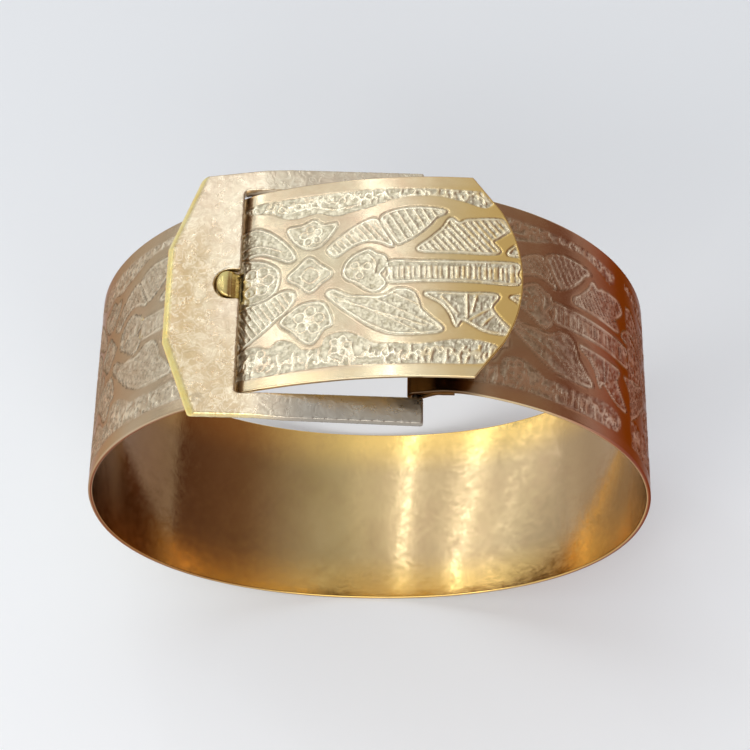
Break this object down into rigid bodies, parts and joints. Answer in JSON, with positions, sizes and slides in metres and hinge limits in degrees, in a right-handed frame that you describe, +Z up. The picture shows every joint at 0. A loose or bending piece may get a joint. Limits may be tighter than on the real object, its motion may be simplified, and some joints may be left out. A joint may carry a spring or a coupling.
{
  "type": "buckle bangle",
  "caption": "Springy engraved brass strap bangle closed by a flat hinged buckle frame, with a shaped strap tip and a sprung catch tooth in the frame's notch.",
  "frame": {"origin": "on the surface that the bangle stands on, under the middle of its back", "axes": "+Z up through the buckle, +X from the frame's plain bar towards the strap's tip, +Y along the wearer's wrist"},
  "size_m": [0.0652, 0.03, 0.0651],
  "materials": {
    "strap_brass": "aged satin, engraved, darkened recesses",
    "frame_brass": "pale satin with fine scratches and bright bevels",
    "catch_brass": "bright polished",
    "rivet_brass": "aged satin",
    "spring_steel": "brushed"
  },
  "bodies": {
    "bangle": {"strap": "strap_brass", "fold_rivet_1": "rivet_brass", "fold_rivet_2": "rivet_brass", "fold_rivet_3": "rivet_brass", "leaf_rivet_1": "rivet_brass", "leaf_rivet_2": "rivet_brass"},
    "buckle": {"buckle_frame": "frame_brass", "crossbar_pin": "spring_steel"},
    "catch": {"catch_tooth": "catch_brass", "catch_leaf_spring": "spring_steel"}
  },
  "joints": [
    {"name": "frame_hinge", "type": "hinge", "parent": "bangle", "child": "buckle", "pos_m": [0.00455, 0, 0.06028], "axis": [0, 1, 0], "range_deg": [0, 170]},
    {"name": "catch_press", "type": "hinge", "parent": "bangle", "child": "catch", "pos_m": [-0.02474, 0.0008, 0.05041], "axis": [0, 1, 0], "range_deg": [0, 5], "stiffness_Nm_per_rad": 0.2, "springref_deg": -1.15}
  ]
}
